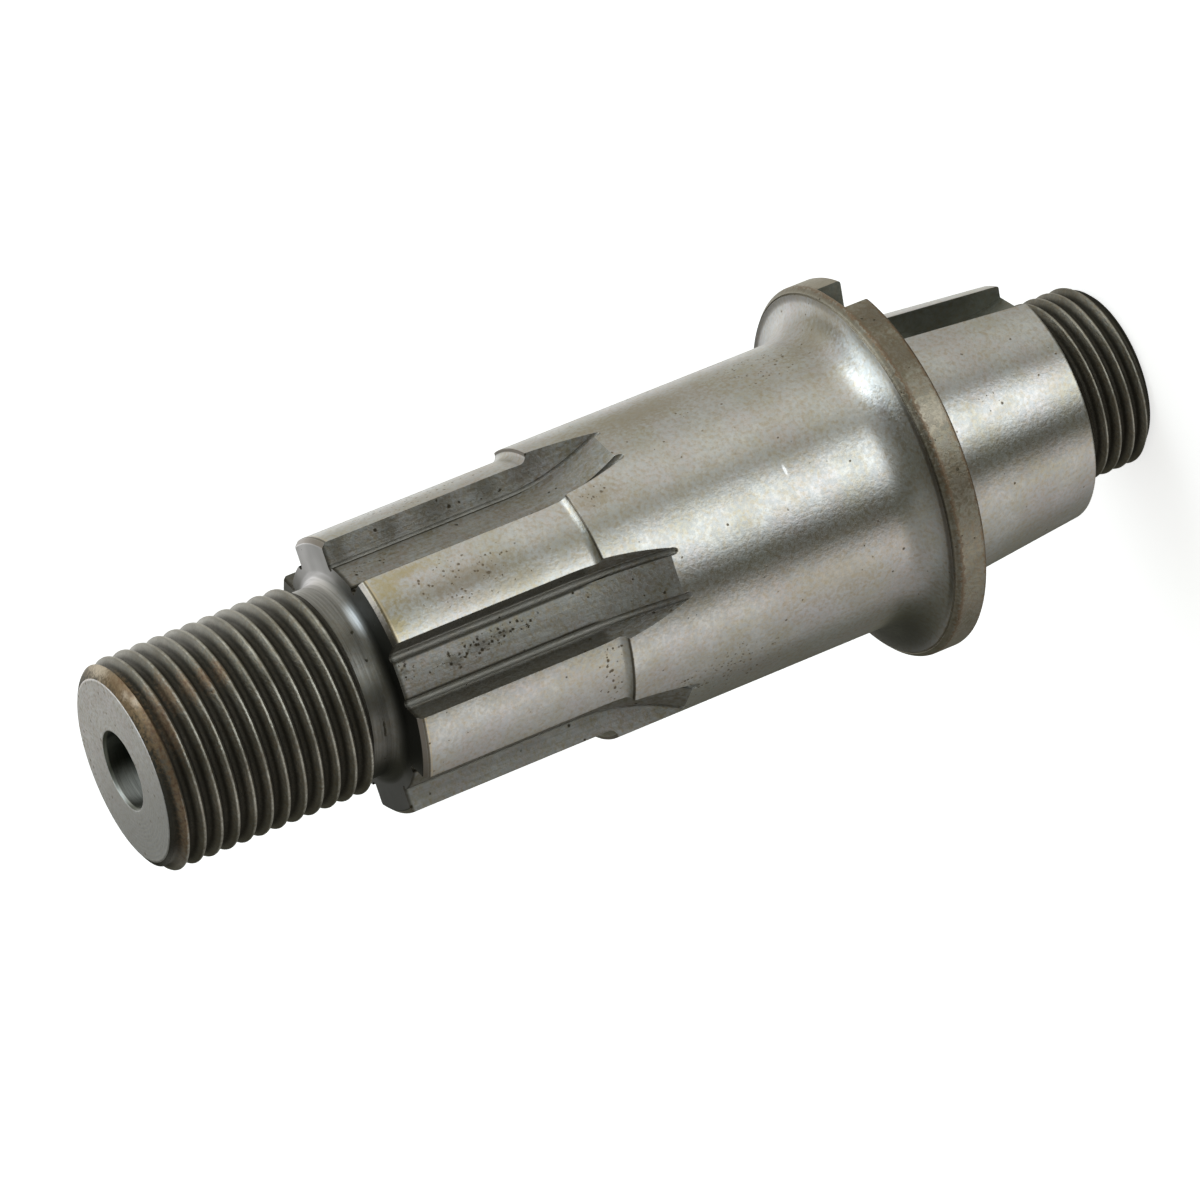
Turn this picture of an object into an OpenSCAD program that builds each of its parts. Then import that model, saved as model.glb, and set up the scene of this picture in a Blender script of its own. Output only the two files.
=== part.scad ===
// Sprocket shaft for an engine: one turned, milled and ground forging.
// It stands on its flywheel end, with the axis on Z and the sprocket end up.

/* [Flywheel end] */
// Outer diameter of the flywheel nut thread
fly_thread_d = 22.2; // [20:0.1:24]
// Length from the end face to the foot of the taper
fly_thread_len = 10.5; // [7:0.5:16]
// Chamfer at the flywheel end
fly_chamfer = 1.3; // [0.5:0.1:2]
// Diameter of the relief between thread and taper
fly_relief_d = 19.8; // [18:0.1:20.5]
// Width of that relief
fly_relief_len = 1.8; // [1:0.1:3]
// Diameter of the taper where it meets the flange
taper_d = 33.1; // [31:0.1:35]
// Length of the taper
taper_len = 20.2; // [16:0.1:28]
// Taper on the diameter, as one part in this many
taper_ratio = 5; // [4:0.5:12]

/* [Keyseat] */
// Width of the round-bottomed keyseat
key_w = 6.35; // [4:0.05:7]
// Diameter of the disc cutter that sinks it
key_cutter_d = 38.1; // [34:0.1:42]
// Distance from the flange back to the middle of the cut
key_back = 14.1; // [12.5:0.1:15.5]
// Distance from the shaft axis to the deepest point of the floor
key_floor = 11.7; // [10.8:0.1:12.6]
// Turn of the keyseat about the axis
key_turn = -30; // [-44:1:-16]

/* [Flange and journal] */
// Outer diameter of the flange
flange_d = 45.6; // [44:0.1:52]
// Thickness of the flange at its rim, with the chamfer
flange_w = 4.1; // [3:0.1:6]
// Chamfer at the front of the rim
rim_chamfer = 0.7; // [0.3:0.1:1]
// Radius that sweeps from the journal up to the flange
flare_r = 4.3; // [2:0.1:4.4]
// Diameter of the ground bearing journal
journal_d = 35.4; // [34.6:0.05:36]
// Length from the flange front to the end of the journal
journal_len = 39.5; // [34:0.5:50]

/* [Splines] */
// Number of teeth
spline_count = 6; // [4:1:7]
// Outer diameter over the teeth
spline_d = 33.3; // [32.5:0.05:33.8]
// Diameter of the slot floors
root_d = 28.3; // [27.4:0.05:28.8]
// Width of a straight-sided tooth
tooth_w = 8.3; // [7.8:0.05:8.8]
// Length of the teeth, from the journal to the shoulder
spline_len = 26.5; // [22:0.5:34]
// Chamfer at the shoulder end of the teeth
tooth_chamfer = 0.55; // [0.3:0.05:1.2]
// Radius of the relief groove along each side of a slot floor
relief_r = 0.45; // [0.3:0.05:0.7]
// Fillet between the teeth and the end of the journal
step_fillet = 0.85; // [0.3:0.05:0.85]
// Diameter of the form cutter that mills the slots
slot_cutter_d = 42; // [34:1:60]
// Distance above the journal's end at which the cutter starts to lift out
slot_lift = 4; // [0:0.5:9]
// Turn of the first slot about the axis
slot_turn = 20; // [14:1:26]

/* [Sprocket end] */
// Diameter of the plain neck beside the thread
neck_d = 22.8; // [21.5:0.1:23.6]
// Length of that neck
neck_len = 3.6; // [2.5:0.1:6]
// Fillet at the foot of the neck
neck_fillet = 1.5; // [0.5:0.1:2]
// Outer diameter of the sprocket nut thread
nut_thread_d = 25.1; // [24.5:0.1:26]
// Length of the thread, with both of its chamfers
nut_thread_len = 25.6; // [18:0.5:34]
// Axial length of the chamfer where the thread starts at the neck
nut_start_len = 0.6; // [0.3:0.1:1.5]
// Diameter of the flat end face
end_face_d = 21.7; // [20:0.1:23]
// Axial length of the end chamfer
end_chamfer_len = 1.5; // [0.8:0.1:2.5]
// Diameter of the drilled centre hole
centre_hole_d = 9; // [6:0.1:10]
// Depth of that hole to the end of its straight wall
centre_hole_len = 20; // [12:0.5:40]
// Angle of the drill point
drill_angle = 118; // [90:1:140]
// Chamfer round the mouth of the hole
hole_chamfer = 0.3; // [0.1:0.1:0.8]

/* [Hidden] */
$fn = 128;
// Heights along the axis, from the flywheel end up
z_taper = fly_thread_len;
z_flange = z_taper + taper_len;
z_front = z_flange + flange_w;
z_step = z_front + journal_len;
z_shoulder = z_step + spline_len;
z_thread = z_shoulder + neck_len;
z_end = z_thread + nut_thread_len;
// Radii
fly_thread_r = fly_thread_d / 2;
fly_relief_r = fly_relief_d / 2;
taper_big_r = taper_d / 2;
taper_small_r = taper_big_r - taper_len / taper_ratio / 2;
flange_r = flange_d / 2;
journal_r = journal_d / 2;
spline_r = spline_d / 2;
root_r = root_d / 2;
neck_r = neck_d / 2;
nut_thread_r = nut_thread_d / 2;
hole_r = centre_hole_d / 2;
// Spline cutting
half_pitch = 180 / spline_count;
slot_top = flange_r;
slot_cutter_y = root_r + slot_cutter_d / 2;
z_slot = z_step + slot_lift;
relief_in = 0.1;
// The relief groove bites this share of its radius short of the tooth flank
relief_bite = 0.95;
relief_reach = root_r - relief_in;
relief_turn = half_pitch - asin((tooth_w / 2 + relief_r * relief_bite) / relief_reach);
// Turn of the cutter's arc that is sure to clear the journal
lift_angle = 60;
// A cut passes this far beyond the surface that it opens
past = 1;

module corner_fillet(x, y, size) {
    // Fills the inside corner at (x, y), which opens towards +X and +Y
    difference() {
        translate([x - size / 2, y - size / 2]) square(size * 1.5);
        translate([x + size, y + size]) circle(size);
    }
}

module turned_profile() {
    // Half section of the turned blank: X is the radius, Y the height
    relief_slope = fly_thread_r - fly_relief_r;
    union() {
        polygon([
            [0, 0],
            [fly_thread_r - fly_chamfer, 0],
            [fly_thread_r, fly_chamfer],
            [fly_thread_r, z_taper - fly_relief_len - relief_slope],
            [fly_relief_r, z_taper - fly_relief_len],
            [fly_relief_r, z_taper],
            [taper_small_r, z_taper],
            [taper_big_r, z_flange],
            [flange_r, z_flange],
            [flange_r, z_front - rim_chamfer],
            [flange_r - rim_chamfer, z_front],
            [journal_r, z_front],
            [journal_r, z_step],
            [spline_r, z_step],
            [spline_r, z_shoulder - tooth_chamfer],
            [spline_r - tooth_chamfer, z_shoulder],
            [neck_r, z_shoulder],
            [neck_r, z_thread],
            [nut_thread_r, z_thread + nut_start_len],
            [nut_thread_r, z_end - end_chamfer_len],
            [end_face_d / 2, z_end],
            [0, z_end],
        ]);
        corner_fillet(journal_r, z_front, flare_r);
        corner_fillet(spline_r, z_step, step_fillet);
        corner_fillet(neck_r, z_shoulder, neck_fillet);
    }
}

module slot_section() {
    // Cross-section of one slot, square to the axis: Y points outwards.
    // Parallel tooth flanks leave a wedge, the floor stays round about the axis,
    // and a small groove along each side of the floor clears the sprocket's corners.
    apex = tooth_w / 2 / sin(half_pitch);
    half_top = (slot_top - apex) * tan(half_pitch);
    union() {
        difference() {
            polygon([[0, apex], [half_top, slot_top], [-half_top, slot_top]]);
            circle(root_r);
        }
        for (side = [-1, 1])
            rotate(side * relief_turn) translate([0, relief_reach]) circle(relief_r);
    }
}

module spline_slot() {
    // Straight cut from the shoulder, then the arc of the cutter as it lifts out
    translate([0, 0, z_slot])
        linear_extrude(z_shoulder - z_slot + past) slot_section();
    translate([0, slot_cutter_y, z_slot])
        rotate([-90, 0, -90])
            rotate_extrude(angle = lift_angle)
                translate([slot_cutter_y, 0]) rotate(90) slot_section();
}

module keyseat() {
    // A disc cutter with its axis across the shaft: its arc ends in the flange rim
    cutter_x = key_floor + key_cutter_d / 2;
    rotate(key_turn)
        translate([cutter_x, 0, z_flange - key_back])
            rotate([90, 0, 0]) cylinder(h = key_w, d = key_cutter_d, center = true);
}

module centre_hole() {
    // Drilled blind from the sprocket end
    point_len = hole_r / tan(drill_angle / 2);
    translate([0, 0, z_end - centre_hole_len])
        rotate_extrude()
            polygon([
                [0, -point_len],
                [hole_r, 0],
                [hole_r, centre_hole_len - hole_chamfer],
                [hole_r + hole_chamfer + past, centre_hole_len + past],
                [0, centre_hole_len + past],
            ]);
}

module sprocket_shaft() {
    color("silver")
        difference() {
            rotate_extrude() turned_profile();
            for (i = [0 : spline_count - 1])
                rotate(slot_turn - 90 + i * 360 / spline_count) spline_slot();
            keyseat();
            centre_hole();
        }
}

sprocket_shaft();
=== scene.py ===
# Sprocket shaft: one turned, milled and ground steel piece, with both threads cut as true helices.
import math

import bmesh
import bpy
from mathutils import Matrix, Vector


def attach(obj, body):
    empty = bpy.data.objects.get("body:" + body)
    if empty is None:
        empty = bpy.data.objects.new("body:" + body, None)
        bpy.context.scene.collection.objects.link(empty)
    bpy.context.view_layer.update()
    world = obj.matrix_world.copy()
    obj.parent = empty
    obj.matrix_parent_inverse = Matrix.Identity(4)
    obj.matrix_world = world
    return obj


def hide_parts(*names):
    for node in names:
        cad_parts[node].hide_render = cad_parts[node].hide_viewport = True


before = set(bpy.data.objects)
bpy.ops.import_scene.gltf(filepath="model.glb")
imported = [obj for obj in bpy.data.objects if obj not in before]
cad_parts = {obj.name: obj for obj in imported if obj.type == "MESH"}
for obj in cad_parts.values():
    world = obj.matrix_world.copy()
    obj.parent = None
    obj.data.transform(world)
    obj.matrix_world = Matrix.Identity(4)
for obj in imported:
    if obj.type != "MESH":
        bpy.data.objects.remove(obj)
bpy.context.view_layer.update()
mm = 0.001
collection = bpy.context.scene.collection

# The camera, from the photograph's angle; places in mm, roll in degrees about the line of sight
photoCamera = {
    "place": (0.43, -824.61, 391.31),
    "target": (-2.449, -0.009, 69.581),
    "roll": -112.197,
    "lens": 233.07,
    "sensor": 36.0,
}


def makeCamera():
    data = bpy.data.cameras.new("photoCamera")
    camera = bpy.data.objects.new("photoCamera", data)
    collection.objects.link(camera)
    place = Vector(photoCamera["place"]) * mm
    look = Vector(photoCamera["target"]) * mm - place
    turn = look.to_track_quat("-Z", "Y").to_matrix().to_4x4()
    turn @= Matrix.Rotation(math.radians(photoCamera["roll"]), 4, "Z")
    camera.matrix_world = Matrix.Translation(place) @ turn
    data.lens = photoCamera["lens"]
    data.sensor_width = photoCamera["sensor"]
    data.clip_start, data.clip_end = 0.05, 20
    bpy.context.scene.camera = camera


makeCamera()
print("camera made")


# Small helpers for node trees
def put(tree, kind, **settings):
    made = tree.nodes.new(kind)
    for name, value in settings.items():
        setattr(made, name, value)
    return made


def feed(tree, socket, value):
    if isinstance(value, bpy.types.NodeSocket):
        tree.links.new(value, socket)
    elif value is not None:
        socket.default_value = value


def maths(tree, operation, first, second=None, third=None, clamp=False):
    made = put(tree, "ShaderNodeMath", operation=operation, use_clamp=clamp)
    for socket, value in zip(made.inputs, (first, second, third)):
        feed(tree, socket, value)
    return made.outputs[0]


def fade(tree, value, low, high, start=0.0, end=1.0):
    made = put(tree, "ShaderNodeMapRange", interpolation_type="SMOOTHSTEP", clamp=True)
    for socket, given in zip(made.inputs, (value, low, high, start, end)):
        feed(tree, socket, given)
    return made.outputs[0]


def mixColour(tree, amount, first, second, blend="MIX"):
    made = put(tree, "ShaderNodeMix", data_type="RGBA", blend_type=blend, clamp_factor=True)
    feed(tree, made.inputs[0], amount)
    feed(tree, made.inputs[6], first)
    feed(tree, made.inputs[7], second)
    return made.outputs[2]


def newGroup(name, takes, gives):
    group = bpy.data.node_groups.new(name, "ShaderNodeTree")
    for label, kind, value in takes:
        socket = group.interface.new_socket(label, in_out="INPUT", socket_type=kind)
        if value is not None:
            socket.default_value = value
    for label, kind in gives:
        group.interface.new_socket(label, in_out="OUTPUT", socket_type=kind)
    return group, put(group, "NodeGroupInput").outputs, put(group, "NodeGroupOutput").inputs


def useGroup(tree, group, **given):
    made = put(tree, "ShaderNodeGroup", node_tree=group)
    for name, value in given.items():
        feed(tree, made.inputs[name], value)
    return made.outputs


floatSocket, vectorSocket, colourSocket = "NodeSocketFloat", "NodeSocketVector", "NodeSocketColor"


# Where a point lies on the shaft: radius and height in mm, turn in degrees, from object coordinates
def makePlaceGroup():
    group, takes, gives = newGroup(
        "placeOnShaft",
        [("Point", vectorSocket, None)],
        [("Radius", floatSocket), ("Height", floatSocket), ("Turn", floatSocket)],
    )
    axes = put(group, "ShaderNodeSeparateXYZ")
    feed(group, axes.inputs[0], takes["Point"])
    x, y, z = axes.outputs
    across = maths(group, "SQRT", maths(group, "MULTIPLY_ADD", x, x, maths(group, "MULTIPLY", y, y)))
    feed(group, gives["Radius"], maths(group, "MULTIPLY", across, 1000.0))
    feed(group, gives["Height"], maths(group, "MULTIPLY", z, 1000.0))
    feed(group, gives["Turn"], maths(group, "DEGREES", maths(group, "ARCTAN2", y, x)))
    return group


placeGroup = makePlaceGroup()


# The studio: soft boxes round a dim room, by the direction that light comes from. All angles are
# degrees: turn goes round the horizon and lift above it, both at the middle of the box.
studio = {
    "room": 0.115,
    "tint": (0.99, 1.0, 0.79, 1),
    "boxes": [
        # name, turn, lift, half width, half height, soft edge, level, tint
        ("window", -84.5, -28, 18.5, 30, 14, 1.85, (0.93, 0.98, 1.0, 1)),
        ("windowTop", -72, 34, 26, 18, 12, 0.2, (0.93, 0.98, 1.0, 1)),
        ("ceiling", -22, 40, 14, 18, 8, 3.0, (0.87, 0.95, 1.0, 1)),
        ("ceilingEdge", 16, 33, 18, 16, 10, 0.41, (0.91, 0.96, 1.0, 1)),
        ("ceilingStrip", 42, 61, 46, 10, 9, 2.2, (0.84, 0.94, 1.0, 1)),
        ("ceilingBack", 125, 64, 34, 12, 10, 0.3, (0.9, 0.94, 1.0, 1)),
        ("ceilingFar", -168, 38, 34, 34, 14, 0.235, (0.95, 0.96, 1.0, 1)),
        ("upperWall", -30, -12, 20, 22, 10, 0.28, (1.0, 0.99, 0.94, 1)),
        ("tableEdge", -150, -22, 15, 22, 8, 0.35, (1.0, 0.99, 0.94, 1)),
        ("tableFront", -161, -22, 16, 22, 9, 0.29, (0.96, 0.95, 1.0, 1)),
        ("tableBack", -173, -24, 30, 28, 12, 0.27, (1.0, 0.985, 0.99, 1)),
        ("backdrop", 74, 4, 12, 40, 10, 0.8, (0.96, 0.975, 1.0, 1)),
        ("tableNear", 146, -40, 40, 14, 10, 0.25, (0.97, 0.97, 1.0, 1)),
        ("wall", 5, -5, 60, 38, 17, 0.45, (1.0, 0.99, 0.93, 1)),
    ],
    "floorSize": 3.0,
    "floorColour": (0.92, 0.92, 0.91, 1),
    "floorGlow": 0.7,
}


def makeBoxGroup():
    group, takes, gives = newGroup(
        "softBox",
        [("Turn", floatSocket, 0.0), ("Lift", floatSocket, 0.0), ("Middle Turn", floatSocket, 0.0),
         ("Middle Lift", floatSocket, 0.0), ("Half Width", floatSocket, 20.0),
         ("Half Height", floatSocket, 20.0), ("Soft Edge", floatSocket, 10.0), ("Level", floatSocket, 1.0)],
        [("Light", floatSocket)],
    )
    apart = maths(group, "SUBTRACT", takes["Turn"], takes["Middle Turn"])
    apart = maths(group, "ABSOLUTE", maths(group, "WRAP", apart, 180.0, -180.0))
    above = maths(group, "ABSOLUTE", maths(group, "SUBTRACT", takes["Lift"], takes["Middle Lift"]))
    inside = []
    for distance, half in ((apart, takes["Half Width"]), (above, takes["Half Height"])):
        outer = maths(group, "ADD", half, takes["Soft Edge"])
        inner = maths(group, "SUBTRACT", half, takes["Soft Edge"])
        inside.append(fade(group, distance, outer, inner))
    both = maths(group, "MULTIPLY", *inside)
    feed(group, gives["Light"], maths(group, "MULTIPLY", both, takes["Level"]))
    return group


def makeStudio():
    boxGroup = makeBoxGroup()
    world = bpy.data.worlds.new("studio")
    bpy.context.scene.world = world
    world.use_nodes = True
    tree = world.node_tree
    tree.nodes.clear()
    direction = put(tree, "ShaderNodeTexCoord").outputs["Generated"]
    axes = put(tree, "ShaderNodeSeparateXYZ")
    feed(tree, axes.inputs[0], direction)
    x, y, z = axes.outputs
    turn = maths(tree, "DEGREES", maths(tree, "ARCTAN2", y, x))
    lift = maths(tree, "DEGREES", maths(tree, "ARCSINE", z))
    room, tint = studio["room"], studio["tint"]
    light = tuple(room * c for c in tint[:3]) + (1,)
    for name, middleTurn, middleLift, halfWidth, halfHeight, soft, level, boxTint in studio["boxes"]:
        made = useGroup(tree, boxGroup, **{
            "Turn": turn, "Lift": lift, "Middle Turn": middleTurn, "Middle Lift": middleLift,
            "Half Width": halfWidth, "Half Height": halfHeight, "Soft Edge": soft, "Level": level})
        lit = mixColour(tree, 1.0, boxTint, made["Light"], "MULTIPLY")
        light = mixColour(tree, 1.0, lit, light, "ADD")
    seen = put(tree, "ShaderNodeLightPath").outputs["Is Camera Ray"]
    shown = mixColour(tree, seen, light, (1, 1, 1, 1))
    background = put(tree, "ShaderNodeBackground")
    feed(tree, background.inputs["Color"], shown)
    output = put(tree, "ShaderNodeOutputWorld")
    feed(tree, output.inputs[0], background.outputs[0])
    world.cycles.sampling_method = "MANUAL"
    world.cycles.sample_map_resolution = 1024


def makeFloor():
    bm = bmesh.new()
    bmesh.ops.create_grid(bm, x_segments=1, y_segments=1, size=studio["floorSize"])
    mesh = bpy.data.meshes.new("floor")
    bm.to_mesh(mesh)
    bm.free()
    floor = bpy.data.objects.new("floor", mesh)
    collection.objects.link(floor)
    material = bpy.data.materials.new("paleFloor")
    material.use_nodes = True
    tree = material.node_tree
    tree.nodes.clear()
    diffuse = put(tree, "ShaderNodeBsdfDiffuse")
    diffuse.inputs["Color"].default_value = studio["floorColour"]
    glow = put(tree, "ShaderNodeEmission")
    seen = put(tree, "ShaderNodeLightPath").outputs["Is Camera Ray"]
    feed(tree, glow.inputs["Strength"], maths(tree, "MULTIPLY", seen, studio["floorGlow"]))
    both = put(tree, "ShaderNodeAddShader")
    feed(tree, both.inputs[0], diffuse.outputs[0])
    feed(tree, both.inputs[1], glow.outputs[0])
    feed(tree, put(tree, "ShaderNodeOutputMaterial").inputs[0], both.outputs[0])
    mesh.materials.append(material)
    floor.visible_glossy = False      # the steel mirrors the studio, not the floor
    floor.visible_shadow = False


makeStudio()
makeFloor()
view = bpy.context.scene.view_settings
view.view_transform = "Standard"
print("studio and floor made")

# Spline slots, sizes in mm: one slot's section goes straight down, then lifts out on the cutter's arc
splineSlots = {
    "count": 6,
    "firstTurn": -40.0,        # the middle of the first slot
    "toothWidth": 8.3,
    "rootRadius": 14.15,
    "top": 22.8,
    "cutterRadius": 21.0,
    "straightFrom": 101.8,
    "straightTo": 78.3,
    "lift": 60.0,              # degrees of the arc
    "liftSteps": 60,
    "grooveRadius": 0.45,
    "grooveReach": 14.05,      # from the axis to the groove's own middle
    "grooveBite": 0.95,        # share of its radius by which that middle clears the tooth
    "floorSteps": 12,
    "grooveSteps": 10,
}


# What time and tools leave on the steel, and the marks that also paint light and shade on it, one group
# each. They all read object coordinates.
def noise(tree, point, scale, detail=2.0, rough=0.5):
    made = put(tree, "ShaderNodeTexNoise")
    feed(tree, made.inputs["Vector"], point)
    feed(tree, made.inputs["Scale"], scale)
    made.inputs["Detail"].default_value = detail
    made.inputs["Roughness"].default_value = rough
    return made.outputs


def perMetre(tree, size):
    return maths(tree, "DIVIDE", 1000.0, size)


# Storage film: clouds some mm across, and two sets of small flecks
def makeFilmGroup():
    group, takes, gives = newGroup(
        "storageFilm",
        [("Point", vectorSocket, None), ("Cloud Size", floatSocket, 7.0), ("Fleck Size", floatSocket, 0.7)],
        [("Cloud", floatSocket), ("Rose Cloud", floatSocket), ("Light Fleck", floatSocket),
         ("Warm Fleck", floatSocket)],
    )
    clouds = noise(group, takes["Point"], perMetre(group, takes["Cloud Size"]), 4.0, 0.65)
    parts = put(group, "ShaderNodeSeparateColor")
    feed(group, parts.inputs[0], clouds[1])
    feed(group, gives["Cloud"], fade(group, parts.outputs[0], 0.38, 0.64))
    feed(group, gives["Rose Cloud"], fade(group, parts.outputs[1], 0.4, 0.66))
    flecks = noise(group, takes["Point"], perMetre(group, takes["Fleck Size"]), 2.0, 0.65)
    split = put(group, "ShaderNodeSeparateColor")
    feed(group, split.inputs[0], flecks[1])
    feed(group, gives["Light Fleck"], fade(group, split.outputs[0], 0.34, 0.68))
    feed(group, gives["Warm Fleck"], fade(group, split.outputs[1], 0.36, 0.7))
    return group


# Lines left by a tool: noise drawn out along the axis (milling) or round it (turning)
def makeToolLineGroup():
    group, takes, gives = newGroup(
        "toolLines",
        [("Point", vectorSocket, None), ("Up Size", floatSocket, 10.0), ("Side Size", floatSocket, 0.3)],
        [("Line", floatSocket)],
    )
    sizes = put(group, "ShaderNodeCombineXYZ")
    side, up = perMetre(group, takes["Side Size"]), perMetre(group, takes["Up Size"])
    for socket, size in zip(sizes.inputs, (side, side, up)):
        feed(group, socket, size)
    drawn = put(group, "ShaderNodeVectorMath", operation="MULTIPLY")
    feed(group, drawn.inputs[0], takes["Point"])
    feed(group, drawn.inputs[1], sizes.outputs[0])
    lines = noise(group, drawn.outputs[0], 1.0, 3.0, 0.6)
    feed(group, gives["Line"], fade(group, lines[0], 0.34, 0.68))
    return group


# A mark: an oval by height in mm and turn in degrees, with a ragged edge
def makeMarkGroup():
    group, takes, gives = newGroup(
        "surfaceMark",
        [("Height", floatSocket, 0.0), ("Turn", floatSocket, 0.0), ("Ragged", floatSocket, 0.0),
         ("Middle Height", floatSocket, 0.0), ("Middle Turn", floatSocket, 0.0),
         ("Half Height", floatSocket, 1.0), ("Half Turn", floatSocket, 5.0), ("Soft", floatSocket, 0.4)],
        [("Mark", floatSocket)],
    )
    up = maths(group, "SUBTRACT", takes["Height"], takes["Middle Height"])
    up = maths(group, "DIVIDE", up, takes["Half Height"])
    aside = maths(group, "SUBTRACT", takes["Turn"], takes["Middle Turn"])
    aside = maths(group, "DIVIDE", maths(group, "WRAP", aside, 180.0, -180.0), takes["Half Turn"])
    away = maths(group, "MULTIPLY_ADD", up, up, maths(group, "MULTIPLY", aside, aside))
    away = maths(group, "ADD", maths(group, "SQRT", away), takes["Ragged"])
    outer, inner = (maths(group, "MULTIPLY_ADD", takes["Soft"], sign, 0.9) for sign in (1.0, -1.0))
    feed(group, gives["Mark"], fade(group, away, outer, inner))
    return group


# Specks and pits: uneven dots in a share of the cells of a Voronoi pattern
def makeSpeckGroup():
    group, takes, gives = newGroup(
        "specks",
        [("Point", vectorSocket, None), ("Spacing", floatSocket, 1.5), ("Size", floatSocket, 0.3),
         ("Share", floatSocket, 0.1), ("Ragged", floatSocket, 0.0)],
        [("Speck", floatSocket)],
    )
    cells = put(group, "ShaderNodeTexVoronoi")
    feed(group, cells.inputs["Vector"], takes["Point"])
    feed(group, cells.inputs["Scale"], perMetre(group, takes["Spacing"]))
    split = put(group, "ShaderNodeSeparateColor")
    feed(group, split.inputs[0], cells.outputs["Color"])
    uneven = maths(group, "MULTIPLY_ADD", split.outputs[1], 0.9, 0.35)
    size = maths(group, "MULTIPLY", takes["Size"], uneven)
    away = maths(group, "MULTIPLY_ADD", takes["Ragged"], 0.25, cells.outputs["Distance"])
    dot = fade(group, away, size, maths(group, "MULTIPLY", size, 0.4))
    chosen = maths(group, "LESS_THAN", split.outputs[0], takes["Share"])
    feed(group, gives["Speck"], maths(group, "MULTIPLY", dot, chosen))
    return group


# Broken edges: a rounded normal, and a mask of where it leaves the true one
def makeEdgeGroup():
    group, takes, gives = newGroup(
        "brokenEdge",
        [("Radius", floatSocket, 0.1)],
        [("Edge", floatSocket), ("Normal", vectorSocket)],
    )
    rounded = put(group, "ShaderNodeBevel", samples=2)
    feed(group, rounded.inputs["Radius"], maths(group, "MULTIPLY", takes["Radius"], mm))
    across = put(group, "ShaderNodeVectorMath", operation="DOT_PRODUCT")
    feed(group, across.inputs[0], rounded.outputs[0])
    feed(group, across.inputs[1], put(group, "ShaderNodeNewGeometry").outputs["Normal"])
    feed(group, gives["Edge"], fade(group, across.outputs["Value"], 0.985, 0.85))
    feed(group, gives["Normal"], rounded.outputs[0])
    return group


filmGroup, lineGroup, markGroup = makeFilmGroup(), makeToolLineGroup(), makeMarkGroup()
speckGroup, edgeGroup = makeSpeckGroup(), makeEdgeGroup()


# The start of each finish, and what the finishes have in common
def startSteel(name, look):
    material = bpy.data.materials.new(name)
    material.use_nodes = True
    tree = material.node_tree
    tree.nodes.clear()
    steel = put(tree, "ShaderNodeBsdfPrincipled")
    feed(tree, put(tree, "ShaderNodeOutputMaterial").inputs[0], steel.outputs[0])
    if "brushed" in look:        # fine rings round the axis spread each highlight along it
        steel.inputs["Anisotropic"].default_value = look["brushed"]
        steel.inputs["Anisotropic Rotation"].default_value = 0.25
        rings = put(tree, "ShaderNodeTangent", direction_type="RADIAL", axis="Z")
        feed(tree, steel.inputs["Tangent"], rings.outputs[0])
    point = put(tree, "ShaderNodeTexCoord").outputs["Object"]
    place = useGroup(tree, placeGroup, Point=point)
    film = useGroup(tree, filmGroup, **{
        "Point": point, "Cloud Size": look["cloudSize"], "Fleck Size": look["fleckSize"]})
    ragged = maths(tree, "MULTIPLY_ADD", film["Light Fleck"], 0.6, -0.3)
    return material, tree, steel, point, place, film, ragged


def linesOf(tree, point, sizes):
    return useGroup(tree, lineGroup, **{"Point": point, "Up Size": sizes[0], "Side Size": sizes[1]})["Line"]


def marksOf(tree, place, ragged, marks, soft=0.4):
    total = None
    for height, turn, halfHeight, halfTurn in marks:
        mark = useGroup(tree, markGroup, **{
            "Height": place["Height"], "Turn": place["Turn"], "Ragged": ragged, "Middle Height": height,
            "Middle Turn": turn, "Half Height": halfHeight, "Half Turn": halfTurn, "Soft": soft})["Mark"]
        total = mark if total is None else maths(tree, "MAXIMUM", total, mark)
    return total


def specksOf(tree, point, ragged, specks, fields=None):
    spacing, size, share, thick = specks      # mm, share of the spacing, share of cells, share in a field
    if fields is not None:
        share = maths(tree, "MULTIPLY_ADD", fields, thick, share)
    return useGroup(tree, speckGroup, **{
        "Point": point, "Spacing": spacing, "Size": size, "Share": share, "Ragged": ragged})["Speck"]


def band(tree, value, low, high, soft):
    inside = fade(tree, value, low - soft, low + soft)
    return maths(tree, "MULTIPLY", inside, fade(tree, value, high + soft, high - soft))


def stain(tree, colour, amount, strength, hue):
    return mixColour(tree, maths(tree, "MULTIPLY", amount, strength), colour, hue)


def filmed(tree, film, look):
    colour = stain(tree, look["bare"], film["Cloud"], look["filmShare"], look["film"])
    if "rose" in look:
        colour = stain(tree, colour, film["Rose Cloud"], look["filmShare"], look["rose"])
    colour = stain(tree, colour, film["Warm Fleck"], look["fleckShare"], look["warm"])
    return stain(tree, colour, film["Light Fleck"], look["fleckShare"], look["cool"])


def coat(tree, steel, colour, rough, metallic=1.0):
    for name, value in (("Base Color", colour), ("Roughness", rough), ("Metallic", metallic)):
        feed(tree, steel.inputs[name], value)


def relief(tree, steel, height, depth, normal=None):
    bump = put(tree, "ShaderNodeBump")
    bump.inputs["Distance"].default_value = depth * mm
    feed(tree, bump.inputs["Height"], height)
    if normal is not None:
        feed(tree, bump.inputs["Normal"], normal)
    feed(tree, steel.inputs["Normal"], bump.outputs[0])


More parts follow.
